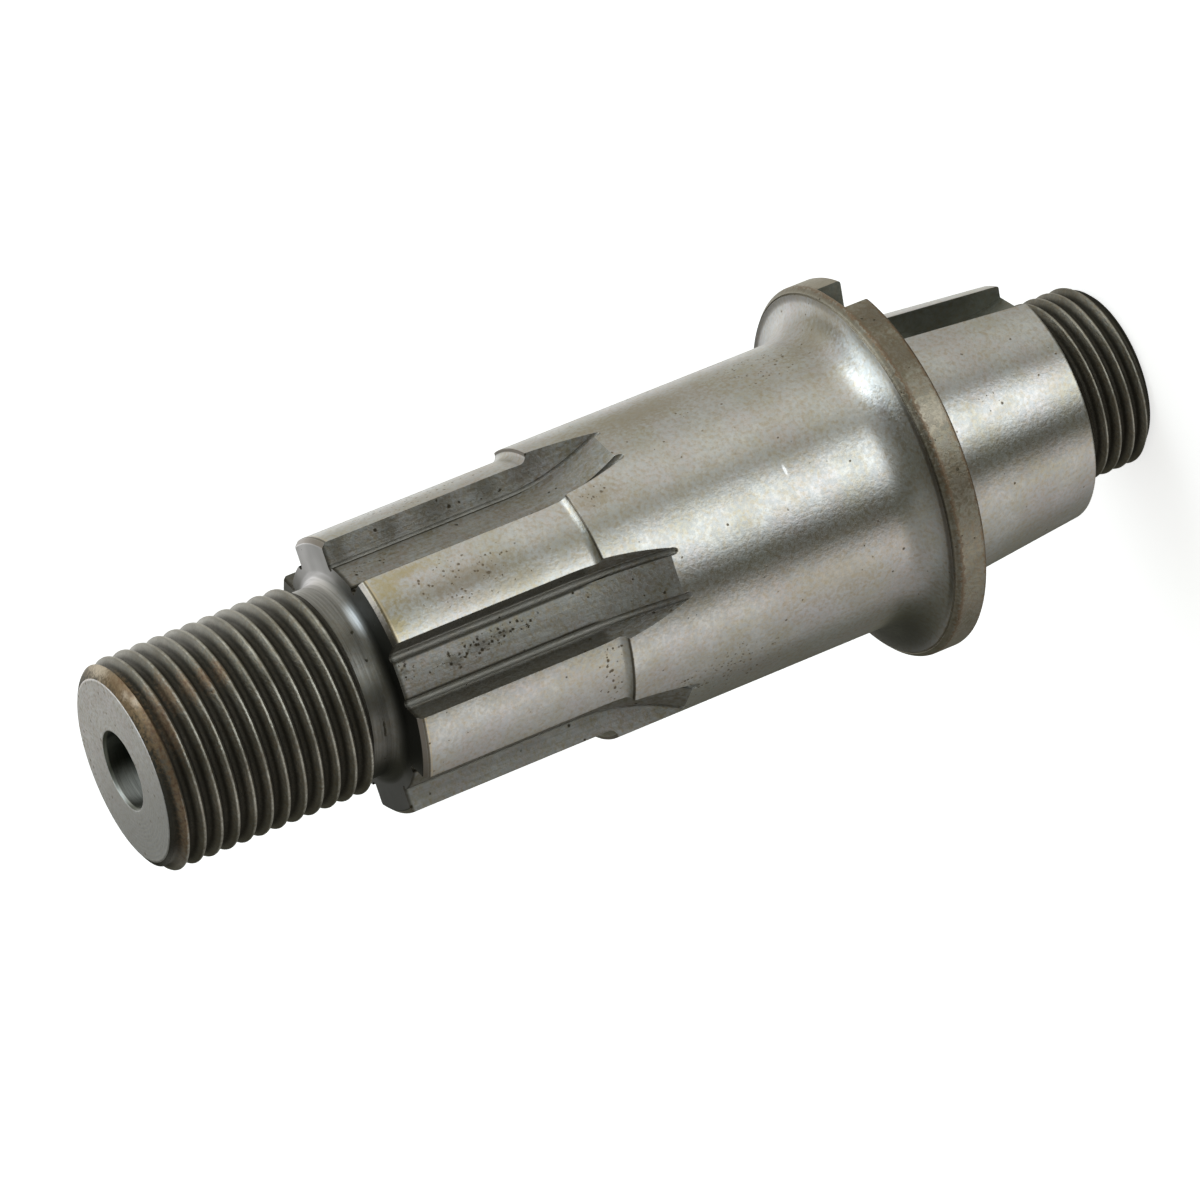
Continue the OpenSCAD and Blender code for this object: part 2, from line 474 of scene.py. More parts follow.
# Ground: journal, flare, tooth tops and taper. Marks are height, turn, half height and half turn.
groundLook = {
    "brushed": 0.75,
    "cloudSize": 7.5, "fleckSize": 0.5,
    "bare": (0.64, 0.635, 0.61, 1), "film": (0.46, 0.415, 0.28, 1), "filmShare": 0.62,
    "rose": (0.58, 0.52, 0.53, 1),
    "warm": (0.43, 0.35, 0.235, 1), "cool": (0.57, 0.6, 0.62, 1), "fleckShare": 0.6,
    "roughness": 0.28,
    "edgeRadius": 0.12, "edge": (0.8, 0.79, 0.75, 1), "edgeDirt": (0.16, 0.125, 0.07, 1),
    "specks": (0.5, 0.36, 0.02, 0.75), "speck": (0.15, 0.105, 0.055, 1),
    "speckFields": [(90.0, -69, 5.5, 8), (88.5, -77, 4.5, 4), (76.6, -130, 1.4, 12), (71.2, -61, 1.8, 5),
                    (22.0, -85, 1.6, 4), (56.1, -40, 0.5, 2), (44, -30, 5, 10), (62, -150, 6, 10),
                    (88, -14, 8, 6), (84, 50, 9, 7), (58, 120, 12, 20)],
    "stains": [(98.4, -62, 1.8, 7), (96.2, -58.5, 4.0, 2.5), (99.4, -78, 1.2, 4), (100.0, -70, 0.4, 15)],
    "stain": (0.43, 0.355, 0.175, 1),
    # Scuffs; the two on the tooth land near turn -75 are painted shade that dims its reflection.
    "scuffsAndShade": [(89.5, -71, 6.5, 5), (86, -79.5, 10, 3.5), (71.5, -61, 3, 5), (36, -30, 5, 9),
               (60, -28, 9, 9), (79, -8, 4, 6), (47, -125, 6, 8)],
    "scuffAndShade": (0.34, 0.29, 0.2, 1),
    "spots": [(76.9, -123, 0.16, 0.8), (76.3, -137, 0.18, 0.9), (76.6, -128, 0.25, 0.6),
              (76.5, -133, 0.14, 0.7), (77.3, -130, 0.12, 0.5), (71.7, -61, 0.16, 0.6),
              (70.5, -60, 0.2, 0.7), (86.8, -72, 0.3, 0.9)],
    "nicks": [(49.7, -79, 0.2, 2.2)], "nick": (1, 1, 1, 1),
    # height from, height to, least radius and hue of the lines along the turned edges
    "lines": [(74.2, 74.5, 17.25, "darkLine"), (99.84, 100.0, 16.5, "wearAndSheen"), (100.07, 100.34, 16.5, "darkLine")],
    # The pale hue below is a painted highlight along the rounded edge at the end of each tooth's land.
    "wearAndSheen": (0.62, 0.52, 0.36, 1),
    # Painted shade: a thin dark line in the crease where the flare meets the rim.
    "paintedCreaseShades": [(34.82, -106, 0.07, 46), (34.82, 60, 0.07, 90)],
    "darkLine": (0.09, 0.065, 0.035, 1),
    "shades": [(36.6, -195, 3.3, 40), (100.6, -94, 0.6, 15)], "shade": (0.05, 0.05, 0.043, 1),
    "shoulder": (100.35, 100.8), "shoulderHue": (0.29, 0.25, 0.22, 1),
}


def groundSteel(name):
    look = groundLook
    material, tree, steel, point, place, film, ragged = startSteel(name, look)
    fields = marksOf(tree, place, ragged, look["speckFields"])
    speck = specksOf(tree, point, ragged, look["specks"], fields)
    speck = maths(tree, "MAXIMUM", speck, marksOf(tree, place, ragged, look["spots"], 0.5))
    stains = marksOf(tree, place, ragged, look["stains"], 0.8)
    edge = useGroup(tree, edgeGroup, Radius=look["edgeRadius"])
    colour = filmed(tree, film, look)
    colour = stain(tree, colour, stains, 0.65, look["stain"])
    colour = stain(tree, colour, marksOf(tree, place, ragged, look["scuffsAndShade"], 0.7), 0.5, look["scuffAndShade"])
    shoulder = band(tree, place["Height"], *look["shoulder"], 0.05)
    colour = stain(tree, colour, shoulder, 0.85, look["shoulderHue"])
    colour = stain(tree, colour, marksOf(tree, place, 0.0, look["shades"], 0.55), 0.9, look["shade"])
    edgeHue = mixColour(tree, film["Warm Fleck"], look["edge"], look["edgeDirt"])
    colour = stain(tree, colour, edge["Edge"], 0.4, edgeHue)
    for low, high, least, hue in look["lines"]:
        outside = fade(tree, place["Radius"], least, least + 0.12)
        line = maths(tree, "MULTIPLY", band(tree, place["Height"], low, high, 0.05), outside)
        colour = stain(tree, colour, line, 0.75, look[hue])
    # painted shade in the crease by the rim
    colour = stain(tree, colour, marksOf(tree, place, 0.0, look["paintedCreaseShades"], 0.6), 0.65, look["darkLine"])
    colour = stain(tree, colour, speck, 0.75, look["speck"])
    colour = stain(tree, colour, marksOf(tree, place, 0.0, look["nicks"]), 1.0, look["nick"])
    rough = maths(tree, "MULTIPLY_ADD", film["Light Fleck"], 0.08, look["roughness"])
    rough = maths(tree, "MULTIPLY_ADD", film["Cloud"], 0.04, rough)
    coat(tree, steel, colour, maths(tree, "MULTIPLY_ADD", speck, 0.25, rough))
    height = maths(tree, "MULTIPLY_ADD", speck, -2.0, film["Light Fleck"])
    relief(tree, steel, height, 0.006, edge["Normal"])
    return material


# Milled: slots and their relief grooves, streaked along the cut and pitted, with painted shade on the
# flanks and on one slot's floor, and a painted highlight in the grooves
milledLook = {
    "cloudSize": 3.2, "fleckSize": 0.5,
    "bare": (0.38, 0.375, 0.35, 1), "film": (0.24, 0.215, 0.145, 1), "filmShare": 0.7,
    "rose": (0.34, 0.3, 0.29, 1),
    "warm": (0.24, 0.19, 0.12, 1), "cool": (0.37, 0.385, 0.39, 1), "fleckShare": 0.7,
    "roughness": 0.5,
    "streak": (0.17, 0.155, 0.12, 1), "streakSizes": (10.0, 0.35), "streakShare": 0.3,
    "pits": (0.55, 0.5, 0.03, 0.85), "pit": (0.05, 0.038, 0.02, 1),
    "pitFields": [(94.2, -100.5, 1.8, 4.5), (90.2, -98.5, 2.4, 5), (99.9, -96.5, 1.3, 4.5),
                  (86, -96, 2.5, 3), (92, -163, 6, 5), (80, -161, 4, 4), (97, -38, 3, 3),
                  (85, 22, 5, 6), (90, 82, 4, 6)],
    # Painted shade darkens the slots' flanks, less so on the lit flanks listed after it.
    "flankFrom": 14.35, "flank": (0.105, 0.1, 0.08, 1),
    "unshadedFlanks": [(90, -24, 40, 7), (90, 96, 40, 7), (90, -173, 40, 7)],
    "smears": [(99.2, -25.5, 1.2, 2.5), (86.5, -25.3, 2.4, 2.2), (80, -25, 1.8, 2.0),
               (92.5, -25.5, 1.3, 1.6), (74.5, -25, 2.6, 2), (93.8, -100.6, 1.0, 2.4),
               (90.3, -98.2, 1.4, 2.6), (99.9, -96.4, 0.6, 1.8), (87.5, -97, 1.0, 1.5), (91, -161, 3, 2)],
    "smear": (0.09, 0.08, 0.06, 1),
    # Painted shade darkens the floor of the slot near turn -160.
    "paintedFloorShades": [(88, -160, 18, 8)], "paintedFloorShade": (0.2, 0.185, 0.14, 1),
    "lineFrom": 4.94, "lineTo": 5.26, "lineBelow": 14.3, "line": (0.04, 0.036, 0.026, 1),
    # Painted highlight: the relief grooves are lighter, as a soft band of reflected light.
    "grooveTo": 4.9, "groove": (0.4, 0.39, 0.355, 1),
    "mouth": (100.2, 100.65),
}


def milledSteel(name):
    look, slots = milledLook, splineSlots
    material, tree, steel, point, place, film, ragged = startSteel(name, look)
    halfPitch = 180 / slots["count"]
    aside = maths(tree, "SUBTRACT", place["Turn"], slots["firstTurn"] + halfPitch)
    aside = maths(tree, "RADIANS", maths(tree, "WRAP", aside, halfPitch, -halfPitch))
    aside = maths(tree, "ABSOLUTE", maths(tree, "MULTIPLY", maths(tree, "SINE", aside), place["Radius"]))
    streaks = linesOf(tree, point, look["streakSizes"])
    fields = marksOf(tree, place, ragged, look["pitFields"])
    pits = specksOf(tree, point, ragged, look["pits"], fields)
    low = fade(tree, place["Radius"], look["lineBelow"] + 0.1, look["lineBelow"] - 0.1)
    inGroove = fade(tree, aside, look["grooveTo"] + 0.1, look["grooveTo"] - 0.1)
    inGroove = maths(tree, "MULTIPLY", inGroove, low)
    line = maths(tree, "MULTIPLY", band(tree, aside, look["lineFrom"], look["lineTo"], 0.12), low)
    # painted shade on the flanks, lifted where they are lit
    flank = fade(tree, place["Radius"], look["flankFrom"] - 0.1, look["flankFrom"] + 0.3)
    nearFlank = fade(tree, aside, slots["toothWidth"] / 2 + 0.12, slots["toothWidth"] / 2 + 0.04)
    flank = maths(tree, "MULTIPLY", flank, nearFlank)
    unshaded = maths(tree, "MULTIPLY_ADD", marksOf(tree, place, ragged, look["unshadedFlanks"]), -0.8, 1.0)
    flank = maths(tree, "MULTIPLY", flank, unshaded)
    colour = filmed(tree, film, look)
    colour = stain(tree, colour, streaks, look["streakShare"], look["streak"])
    # painted highlight in the grooves
    colour = stain(tree, colour, inGroove, 0.6, look["groove"])
    colour = stain(tree, colour, flank, 0.72, look["flank"])
    # painted shade on one slot's floor
    colour = stain(tree, colour, marksOf(tree, place, ragged, look["paintedFloorShades"], 0.5), 0.75, look["paintedFloorShade"])
    colour = stain(tree, colour, marksOf(tree, place, ragged, look["smears"], 0.8), 0.6, look["smear"])
    colour = stain(tree, colour, line, 0.9, look["line"])
    colour = stain(tree, colour, fade(tree, place["Height"], *look["mouth"]), 0.8, look["line"])
    colour = stain(tree, colour, pits, 0.85, look["pit"])
    rough = maths(tree, "MULTIPLY_ADD", film["Light Fleck"], 0.1, look["roughness"])
    rough = maths(tree, "MULTIPLY_ADD", inGroove, 0.1, rough)
    coat(tree, steel, colour, maths(tree, "MULTIPLY_ADD", pits, 0.2, rough))
    height = maths(tree, "MULTIPLY_ADD", pits, -2.0, film["Light Fleck"])
    height = maths(tree, "MULTIPLY_ADD", streaks, -0.4, height)
    relief(tree, steel, height, 0.015)
    return material


# Threaded: black in the roots from oil and painted shade, dull on the flanks, bright along the crests from
# wear and a painted highlight, with a painted sheen on top, painted glints, and rust near the end
threadedLook = {
    "cloudSize": 3.5, "fleckSize": 0.45,
    "bare": (0.31, 0.285, 0.23, 1), "film": (0.185, 0.165, 0.115, 1), "filmShare": 0.7,
    "warm": (0.21, 0.15, 0.095, 1), "cool": (0.23, 0.235, 0.225, 1), "fleckShare": 0.55,
    "cores": (9.99, 11.42), "depth": 1.12, "between": 50.0,
    # The crests are lighter partly from wear and partly as a painted highlight; the roots are darker partly
    # from oil and partly as painted shade.
    "crestFrom": 0.95, "crest": (0.68, 0.66, 0.59, 1),
    "root": (0.036, 0.033, 0.026, 1), "rootTo": (0.84, 0.16),
    "roughness": 0.4,
    "streakSizes": (0.5, 5.0), "streak": (0.11, 0.1, 0.075, 1),
    # Painted sheen: lighter along the top of the thread and at its bottom end.
    "paintedSheens": [(117, -1, 16, 28), (128.9, -168, 1.0, 14)], "paintedSheen": (0.66, 0.635, 0.6, 1),
    "golds": [(129.2, -36, 1.0, 44)], "gold": (0.38, 0.265, 0.145, 1),
    "glints": [(129.3, -50, 0.3, 3.5), (129.0, -57, 0.35, 4), (129.2, -16, 0.6, 12)],
    "glint": (0.85, 0.74, 0.6, 1),
    "rusts": [(129.3, -48, 0.9, 16), (128.8, -78, 0.8, 22), (128.75, -120, 0.4, 48),
              (122.8, -61, 0.5, 9), (120.5, -61, 0.6, 8), (118.5, -60, 0.6, 7), (125.2, -60, 0.5, 12),
              (127.1, -74, 0.5, 18), (112, 70, 0.8, 20), (124, 130, 2.2, 22), (3.5, 100, 2, 25)],
    "rust": (0.16, 0.08, 0.04, 1), "oldRust": (0.27, 0.18, 0.1, 1),
}


def threadedSteel(name):
    look = threadedLook
    material, tree, steel, point, place, film, ragged = startSteel(name, look)
    low, high = look["cores"]
    upper = maths(tree, "GREATER_THAN", place["Height"], look["between"])
    core = maths(tree, "MULTIPLY_ADD", upper, high - low, low)
    share = maths(tree, "DIVIDE", maths(tree, "SUBTRACT", place["Radius"], core), look["depth"])
    # patchy crest brightness, partly wear and partly painted highlight
    wearAndSheen = maths(tree, "MULTIPLY", maths(tree, "MULTIPLY_ADD", film["Light Fleck"], 0.6, 0.4),
                 maths(tree, "MULTIPLY_ADD", film["Cloud"], -0.6, 1.0))
    crest = maths(tree, "MULTIPLY", fade(tree, share, look["crestFrom"], 1.0), wearAndSheen)
    streaks = linesOf(tree, point, look["streakSizes"])
    rooted = fade(tree, share, *look["rootTo"])
    rust = marksOf(tree, place, ragged, look["rusts"], 0.7)
    rustHue = mixColour(tree, film["Warm Fleck"], look["oldRust"], look["rust"])
    colour = filmed(tree, film, look)
    colour = stain(tree, colour, streaks, 0.45, look["streak"])
    colour = stain(tree, colour, rooted, 0.85, look["root"])
    colour = stain(tree, colour, crest, 0.8, look["crest"])
    # painted sheen, weaker in the roots and streaks
    paintedSheen = maths(tree, "MULTIPLY_ADD", rooted, -0.5, 1.0)
    paintedSheen = maths(tree, "MULTIPLY", paintedSheen, maths(tree, "MULTIPLY_ADD", streaks, -0.35, 1.0))
    paintedSheen = maths(tree, "MULTIPLY", marksOf(tree, place, 0.0, look["paintedSheens"], 0.8), paintedSheen)
    colour = stain(tree, colour, paintedSheen, 0.75, look["paintedSheen"])
    colour = stain(tree, colour, marksOf(tree, place, ragged, look["golds"], 0.7), 0.65, look["gold"])
    colour = stain(tree, colour, marksOf(tree, place, ragged, look["glints"], 0.7), 0.7, look["glint"])
    rust = maths(tree, "MULTIPLY", rust, maths(tree, "MULTIPLY_ADD", rooted, -0.5, 1.0))
    colour = stain(tree, colour, rust, 0.75, rustHue)
    rough = maths(tree, "MULTIPLY_ADD", film["Light Fleck"], 0.1, look["roughness"])
    rough = maths(tree, "MULTIPLY_ADD", rooted, 0.2, rough)
    coat(tree, steel, colour, rough, maths(tree, "MULTIPLY_ADD", rust, -0.3, 1.0))
    relief(tree, steel, film["Light Fleck"], 0.02)
    return material


# Turned neck and shoulder: dull, ringed by the tool, with a few specks and one scratch, a painted sheen and
# painted highlights along the top and on the fillet, and painted shade
neckLook = {
    "brushed": 0.6,
    "cloudSize": 4.0, "fleckSize": 0.5,
    "bare": (0.235, 0.23, 0.21, 1), "film": (0.155, 0.145, 0.11, 1), "filmShare": 0.6,
    "warm": (0.19, 0.155, 0.11, 1), "cool": (0.235, 0.24, 0.24, 1), "fleckShare": 0.45,
    "roughness": 0.4,
    "ringSizes": (0.22, 9.0), "ring": (0.14, 0.135, 0.115, 1), "ringShare": 0.4,
    # Painted light: a sheen along the top and on the top tooth's shoulder face, a highlight there, and
    # another on the fillet.
    "paintedSheens": [(102.5, -6, 3.5, 36), (100.8, -6, 0.5, 26)], "paintedSheen": (0.63, 0.61, 0.59, 1),
    "brights": [(101.1, -2, 1.1, 25)], "bright": (0.98, 0.95, 0.96, 1),
    "paintedFilletHighlights": [(101.5, -59, 0.6, 10)], "paintedFilletHighlight": (0.7, 0.73, 0.76, 1),
    "shades": [(100.6, -104, 0.8, 70), (102.6, -188, 3.8, 38)], "shade": (0.035, 0.036, 0.032, 1),
    "specks": (1.1, 0.16, 0.1, 0.0), "speck": (0.05, 0.045, 0.03, 1),
    "scratches": [(102.8, -126, 0.15, 5.5), (102.5, -66, 0.18, 1.0), (102.5, -84, 0.18, 1.0)],
}


def neckSteel(name):
    look = neckLook
    material, tree, steel, point, place, film, ragged = startSteel(name, look)
    rings = linesOf(tree, point, look["ringSizes"])
    specks = specksOf(tree, point, ragged, look["specks"])
    dark = maths(tree, "MAXIMUM", specks, marksOf(tree, place, ragged, look["scratches"]))
    colour = filmed(tree, film, look)
    # painted sheen and highlights
    layers = (("paintedSheens", 0.8, "paintedSheen"), ("brights", 0.85, "bright"), ("paintedFilletHighlights", 0.75, "paintedFilletHighlight"))
    for marks, strength, hue in layers:
        colour = stain(tree, colour, marksOf(tree, place, 0.0, look[marks], 0.6), strength, look[hue])
    colour = stain(tree, colour, rings, look["ringShare"], look["ring"])
    colour = stain(tree, colour, marksOf(tree, place, 0.0, look["shades"], 0.6), 0.92, look["shade"])
    colour = stain(tree, colour, dark, 0.85, look["speck"])
    coat(tree, steel, colour, maths(tree, "MULTIPLY_ADD", rings, 0.08, look["roughness"]))
    relief(tree, steel, maths(tree, "MULTIPLY_ADD", dark, -1.5, rings), 0.012)
    return material


# Faced: the two end faces and the flange back, plain grey with a few olive specks
facedLook = {
    "cloudSize": 4.0, "fleckSize": 0.45,
    "bare": (0.93, 0.885, 0.85, 1), "film": (0.64, 0.59, 0.48, 1), "filmShare": 0.5,
    "rose": (0.82, 0.71, 0.71, 1),
    "warm": (0.5, 0.42, 0.32, 1), "cool": (0.8, 0.79, 0.8, 1), "fleckShare": 0.7,
    "roughness": 0.42,
    "ringSize": 0.5, "ringShare": 0.18,
    "specks": (0.8, 0.28, 0.22, 0.0), "speck": (0.22, 0.17, 0.1, 1),
    "shadeFrom": 9.0, "shadeTo": -10.0, "shade": (0.33, 0.33, 0.32, 1),
}


def facedSteel(name):
    look = facedLook
    material, tree, steel, point, place, film, ragged = startSteel(name, look)
    rings = maths(tree, "SINE", maths(tree, "MULTIPLY", place["Radius"], 2 * math.pi / look["ringSize"]))
    rings = maths(tree, "MULTIPLY_ADD", rings, 0.5, 0.5)
    specks = specksOf(tree, point, ragged, look["specks"])
    axes = put(tree, "ShaderNodeSeparateXYZ")
    feed(tree, axes.inputs[0], point)
    side = fade(tree, axes.outputs[0], look["shadeFrom"] * mm, look["shadeTo"] * mm)
    colour = filmed(tree, film, look)
    colour = stain(tree, colour, side, 0.75, look["shade"])
    colour = stain(tree, colour, rings, look["ringShare"], look["film"])
    colour = stain(tree, colour, specks, 0.7, look["speck"])
    rough = maths(tree, "MULTIPLY_ADD", film["Light Fleck"], 0.1, look["roughness"])
    coat(tree, steel, colour, rough)
    relief(tree, steel, maths(tree, "MULTIPLY_ADD", rings, 0.4, film["Light Fleck"]), 0.006)
    return material


# Rim: brown oxide, rustier along both edges, with dark spots, painted highlights, darker patches that are
# partly painted shade, and a painted shade line in the crease by the flare
rimLook = {
    "cloudSize": 3.0, "fleckSize": 0.5,
    "bare": (0.35, 0.325, 0.25, 1), "film": (0.2, 0.175, 0.12, 1), "filmShare": 0.65,
    "rose": (0.33, 0.285, 0.23, 1),
    "warm": (0.27, 0.19, 0.12, 1), "cool": (0.36, 0.355, 0.32, 1), "fleckShare": 0.5,
    "roughness": 0.42,
    "backEdge": 30.95, "frontEdge": (33.75, 34.15), "rust": (0.19, 0.11, 0.055, 1),
    # Painted shade: a thin dark line in the crease where the rim meets the flare.
    "paintedCreaseShades": [(34.74, -108, 0.1, 44), (34.74, 60, 0.1, 90)], "darkLine": (0.05, 0.045, 0.035, 1),
    # Darker patches, partly the oxide and partly painted shade, then lighter ones that are painted
    # highlights.
    "darks": [(32, -47, 3, 8), (31.8, -62, 3, 8), (32.5, -102, 3.5, 9), (34.35, -60, 0.25, 70)],
    "dark": (0.13, 0.105, 0.07, 1),
    "lights": [(32.4, -82, 3, 4.5), (32.4, -16, 4, 19), (34.66, -46, 0.13, 24)],
    "light": (0.5, 0.455, 0.37, 1),
    "specks": (0.8, 0.26, 0.14, 0.0), "speck": (0.06, 0.05, 0.03, 1),
}


def rimSteel(name):
    look = rimLook
    material, tree, steel, point, place, film, ragged = startSteel(name, look)
    specks = specksOf(tree, point, ragged, look["specks"])
    height = maths(tree, "MULTIPLY_ADD", ragged, 0.6, place["Height"])
    rust = maths(tree, "MAXIMUM", fade(tree, height, look["backEdge"] + 0.4, look["backEdge"] - 0.1),
                 band(tree, height, *look["frontEdge"], 0.12))
    colour = filmed(tree, film, look)
    # painted highlights, and darker patches that are partly painted shade
    for marks, hue in (("lights", "light"), ("darks", "dark")):
        colour = stain(tree, colour, marksOf(tree, place, ragged, look[marks], 0.7), 0.6, look[hue])
    colour = stain(tree, colour, rust, 0.6, look["rust"])
    # painted shade in the crease by the flare
    colour = stain(tree, colour, marksOf(tree, place, 0.0, look["paintedCreaseShades"], 0.5), 0.85, look["darkLine"])
    colour = stain(tree, colour, specks, 0.75, look["speck"])
    rough = maths(tree, "MULTIPLY_ADD", film["Light Fleck"], 0.12, look["roughness"])
    coat(tree, steel, colour, rough, maths(tree, "MULTIPLY_ADD", rust, -0.3, 1.0))
    relief(tree, steel, maths(tree, "MULTIPLY_ADD", specks, -1.5, film["Light Fleck"]), 0.02)
    return material


# Seat: the keyseat and its notch in the rim, dark, with a painted reflection that lightens it towards the
# flywheel end
seatLook = {
    "cloudSize": 5.0, "fleckSize": 0.6,
    "bare": (0.23, 0.235, 0.2, 1), "film": (0.15, 0.145, 0.11, 1), "filmShare": 0.7,
    "warm": (0.2, 0.17, 0.12, 1), "cool": (0.22, 0.235, 0.22, 1), "fleckShare": 0.5,
    "roughness": 0.45,
    "paintedLitPatch": (10.5, 7.0), "bright": (0.5, 0.49, 0.45, 1),
}


def seatSteel(name):
    look = seatLook
    material, tree, steel, point, place, film, ragged = startSteel(name, look)
    # painted reflection, lighter towards the flywheel end
    paintedLitPatch = fade(tree, place["Height"], *look["paintedLitPatch"])
    colour = stain(tree, filmed(tree, film, look), paintedLitPatch, 0.6, look["bright"])
    rough = maths(tree, "MULTIPLY_ADD", film["Light Fleck"], 0.1, look["roughness"])
    coat(tree, steel, colour, rough)
    relief(tree, steel, film["Light Fleck"], 0.015)
    return material


# Drilled: the centre hole, dark inside as painted shade and ringed, with one painted lit patch near its
# mouth
drilledLook = {
    "brushed": 0.3,
    "cloudSize": 3.0, "fleckSize": 0.5,
    "bare": (0.2, 0.21, 0.18, 1), "film": (0.13, 0.13, 0.105, 1), "filmShare": 0.6,
    "warm": (0.15, 0.14, 0.1, 1), "cool": (0.18, 0.195, 0.185, 1), "fleckShare": 0.3,
    "roughness": 0.3,
    "ringSizes": (0.35, 6.0),
    "paintedLitPatches": [(127.6, 118, 2.6, 32)], "paintedLitPatch": (0.93, 0.94, 0.9, 1),
}


def drilledSteel(name):
    look = drilledLook
    material, tree, steel, point, place, film, ragged = startSteel(name, look)
    rings = linesOf(tree, point, look["ringSizes"])
    paintedLitPatch = marksOf(tree, place, 0.0, look["paintedLitPatches"], 0.6)
    colour = stain(tree, filmed(tree, film, look), rings, 0.4, look["film"])
    # a painted lit patch on the hole's lower wall near its mouth
    shining = maths(tree, "MULTIPLY", paintedLitPatch, maths(tree, "MULTIPLY_ADD", rings, -0.5, 1.0))
    colour = stain(tree, colour, shining, 0.9, look["paintedLitPatch"])
    rough = maths(tree, "MULTIPLY_ADD", rings, 0.1, look["roughness"])
    coat(tree, steel, colour, rough, maths(tree, "MULTIPLY_ADD", paintedLitPatch, -0.85, 1.0))
    relief(tree, steel, rings, 0.01)
    return material


finishMakers = {
    "ground": groundSteel, "milled": milledSteel, "threaded": threadedSteel, "neck": neckSteel,
    "faced": facedSteel, "rim": rimSteel, "seat": seatSteel, "drilled": drilledSteel,
}
finishes = list(finishMakers)
steels = {finish: maker(finish + "Steel") for finish, maker in finishMakers.items()}
print("steel finishes made")


def toObject(name, bm, finish=None):
    bmesh.ops.recalc_face_normals(bm, faces=bm.faces[:])
    if finish:
        for face in bm.faces:
            face.material_index = finishes.index(finish)
    mesh = bpy.data.meshes.new(name)
    for steel in steels.values():
        mesh.materials.append(steel)
    bm.to_mesh(mesh)
    bm.free()
    piece = bpy.data.objects.new(name, mesh)
    collection.objects.link(piece)
    return piece


# The turned blank, sizes in mm. Corners run from the flywheel end up: radius, height, rounding.
# Finishes name the turned surfaces by lowest height, highest height and least radius.
turnedBlank = {
    "segments": 224,
    "roundingSteps": ((2.0, 24), (0.5, 8), (0.0, 3)),      # steps of a rounding wider than this
    "mergeWithin": 0.002,
    "corners": [
        (0, 0, 0),
        (9.8, 0, 0.12),
        (11.15, 1.35, 0),
        (11.15, 7.45, 0),
        (9.9, 8.7, 0.2),
        (9.9, 10.5, 0.3),
        (14.53, 10.5, 0.3),
        (16.55, 30.7, 0.4),
        (22.8, 30.7, 0.4),
        (22.8, 34.1, 0.25),
        (22.2, 34.7, 0.06),
        (22.1, 34.6, 0),
        (22.0, 34.8, 0),
        (17.7, 34.8, 4.3),
        (17.7, 74.3, 0.15),
        (16.65, 74.3, 0.85),
        (16.65, 100.25, 0.12),
        (16.1, 100.8, 0.12),
        (11.4, 100.8, 1.5),
        (11.4, 104.4, 0.2),
        (12.6, 105.05, 0),
        (12.6, 128.45, 0),
        (11.9, 129.4, 0.4),
        (10.85, 130, 0.12),
        (4.8, 130, 0.1),
        (4.5, 129.7, 0.1),
        (4.5, 110, 0),
        (0, 107.296, 0),
    ],
    "finishes": [
        (-1, 0.02, 0, "faced"),
        (-1, 10.45, 0, "threaded"),
        (10.45, 30.65, 0, "ground"),
        (30.65, 34.12, 22.65, "rim"),
        (30.65, 30.8, 0, "faced"),
        (34.05, 34.78, 0, "rim"),
        (34.78, 100.74, 0, "ground"),
        (100.7, 105, 4.95, "neck"),
        (105, 129.95, 10.8, "threaded"),
        (129.6, 131, 4.76, "faced"),
        (105, 131, 0, "drilled"),
    ],
}


def makeBlank():
    bm = bmesh.new()
    line = [bm.verts.new((r * mm, 0, z * mm)) for r, z, rounding in turnedBlank["corners"]]
    for a, b in zip(line, line[1:]):
        bm.edges.new((a, b))
    for vert, (r, z, rounding) in zip(line, turnedBlank["corners"]):
        if rounding:
            steps = next(steps for least, steps in turnedBlank["roundingSteps"] if rounding > least)
            bmesh.ops.bevel(bm, geom=[vert], offset=rounding * mm, offset_type="OFFSET", segments=steps,
                            profile=0.5, affect="VERTICES", material=-1, clamp_overlap=False)
    bmesh.ops.spin(bm, geom=bm.verts[:] + bm.edges[:], cent=(0, 0, 0), axis=(0, 0, 1),
                   angle=2 * math.pi, steps=turnedBlank["segments"], use_merge=True)
    bmesh.ops.remove_doubles(bm, verts=bm.verts[:], dist=turnedBlank["mergeWithin"] * mm)
    for face in bm.faces:
        middle = face.calc_center_median() / mm
        radius = math.hypot(middle.x, middle.y)
        for low, high, least, finish in turnedBlank["finishes"]:
            if low < middle.z < high and radius > least:
                face.material_index = finishes.index(finish)
                break
    return toObject("sprocketShaft", bm)


def sweepSlot(bm):
    s = splineSlots
    faces = bm.faces[:]
    swept = bmesh.ops.extrude_face_region(bm, geom=faces)["geom"]
    moved = [g for g in swept if isinstance(g, bmesh.types.BMVert)]
    bmesh.ops.translate(bm, verts=moved, vec=(0, 0, (s["straightTo"] - s["straightFrom"]) * mm))
    axis = (0, (s["rootRadius"] + s["cutterRadius"]) * mm, s["straightTo"] * mm)
    bmesh.ops.spin(bm, geom=swept, cent=axis, axis=(1, 0, 0), angle=math.radians(s["lift"]),
                   steps=s["liftSteps"], use_merge=False)


# Where a turn from the slot's middle and a radius in mm lie, at the height where the slot starts
def inSection(turn, radius):
    return Vector((math.sin(turn) * radius, math.cos(turn) * radius, splineSlots["straightFrom"])) * mm


